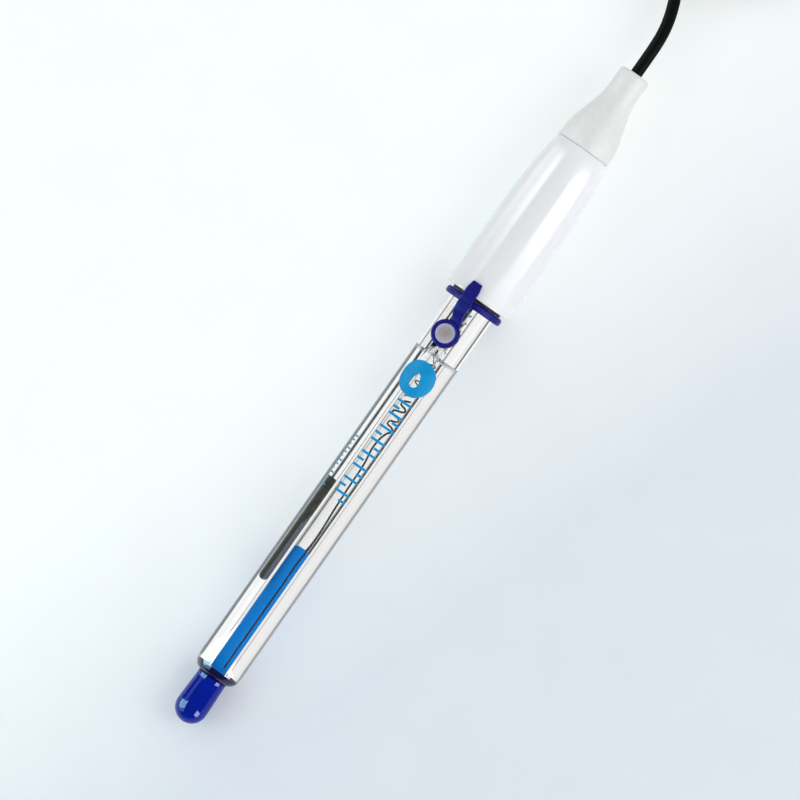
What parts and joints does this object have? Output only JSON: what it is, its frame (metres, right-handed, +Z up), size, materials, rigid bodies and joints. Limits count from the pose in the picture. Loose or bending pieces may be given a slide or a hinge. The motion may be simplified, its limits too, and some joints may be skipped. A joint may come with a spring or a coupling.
{
  "type": "combination ph electrode",
  "caption": "Glass combination pH electrode with a domed membrane bulb, refillable outer chamber, peel-open stopper, white cap and a coaxial cable with a bayonet plug.",
  "frame": {"origin": "under the middle of the electrode, on the surface it lies on", "axes": "+X along the electrode from its bulb towards its cable, +Z up, the refill stopper facing up"},
  "size_m": [0.3043, 0.0278, 0.0189],
  "materials": {
    "blue_glass": "polished deep blue glass",
    "clear_glass": "polished clear glass",
    "blue_gel": "clear blue buffer gel",
    "electrolyte": "clear liquid",
    "silver_wire": "darkened silver wire",
    "silver_chloride": "matte dark silver chloride",
    "junction_ceramic": "matte porous ceramic",
    "white_plastic": "glossy white moulded plastic",
    "grey_rubber": "soft light grey moulded rubber",
    "navy_silicone": "satin navy silicone",
    "black_rubber": "satin black rubber",
    "cable_jacket": "satin black cable jacket",
    "tie_strap": "woven black hook and loop strap",
    "potting_resin": "glossy cast resin",
    "white_insulation": "matte white fluoropolymer",
    "red_sleeve": "heat shrink sleeve",
    "red_silicone": "matte silicone gasket",
    "nickel_plate": "bright nickel plate",
    "gold_plate": "gold plate",
    "spring_steel": "spring steel"
  },
  "bodies": {
    "root": {"membrane_bulb": "blue_glass", "outer_glass_body": "clear_glass", "stem_tube": "clear_glass", "buffer_gel": "blue_gel", "electrolyte_fill": "electrolyte", "inner_silver_wire": "silver_wire", "lead_coil": "silver_wire", "signal_lead": "silver_wire", "reference_element": "silver_chloride", "reference_lead": "silver_wire", "ceramic_junction": "junction_ceramic", "cap_shell": "white_plastic", "cap_o_ring": "black_rubber", "potting_plug": "potting_resin", "coax_core": "white_insulation", "signal_joint_sleeve": "red_sleeve", "shield_pigtail": "nickel_plate", "shield_joint_sleeve": "black_rubber", "cable_clamp": "nickel_plate", "cable_in_cap": "cable_jacket", "strain_relief_boot": "grey_rubber", "stopper_ring": "navy_silicone", "cable": "cable_jacket", "cable_hank": "cable_jacket", "cable_tie": "tie_strap", "cable_tail": "cable_jacket", "connector_boot": "black_rubber", "crimp_ferrule": "nickel_plate", "connector_body": "nickel_plate", "connector_insulator": "white_insulation", "centre_pin": "gold_plate", "connector_gasket": "red_silicone", "wave_spring": "spring_steel"},
    "stopper": {"stopper_plug": "navy_silicone"},
    "collar_slide": {"retaining_washer": "nickel_plate"},
    "collar": {"bayonet_collar": "nickel_plate"}
  },
  "joints": [
    {"name": "stopper_peel", "type": "hinge", "parent": "root", "child": "stopper", "pos_m": [0.02377, 0, 0.01735], "axis": [0, 1, 0], "range_deg": [0, 110], "stiffness_Nm_per_rad": 0.00003},
    {"name": "collar_push", "type": "slide", "parent": "root", "child": "collar_slide", "axis": [1, 0, 0], "range_m": [0, 0.0009], "stiffness_N_per_m": 4000},
    {"name": "collar_turn", "type": "hinge", "parent": "collar_slide", "child": "collar", "pos_m": [0.163, 0, 0.00725], "axis": [1, 0, 0], "continuous": true}
  ]
}
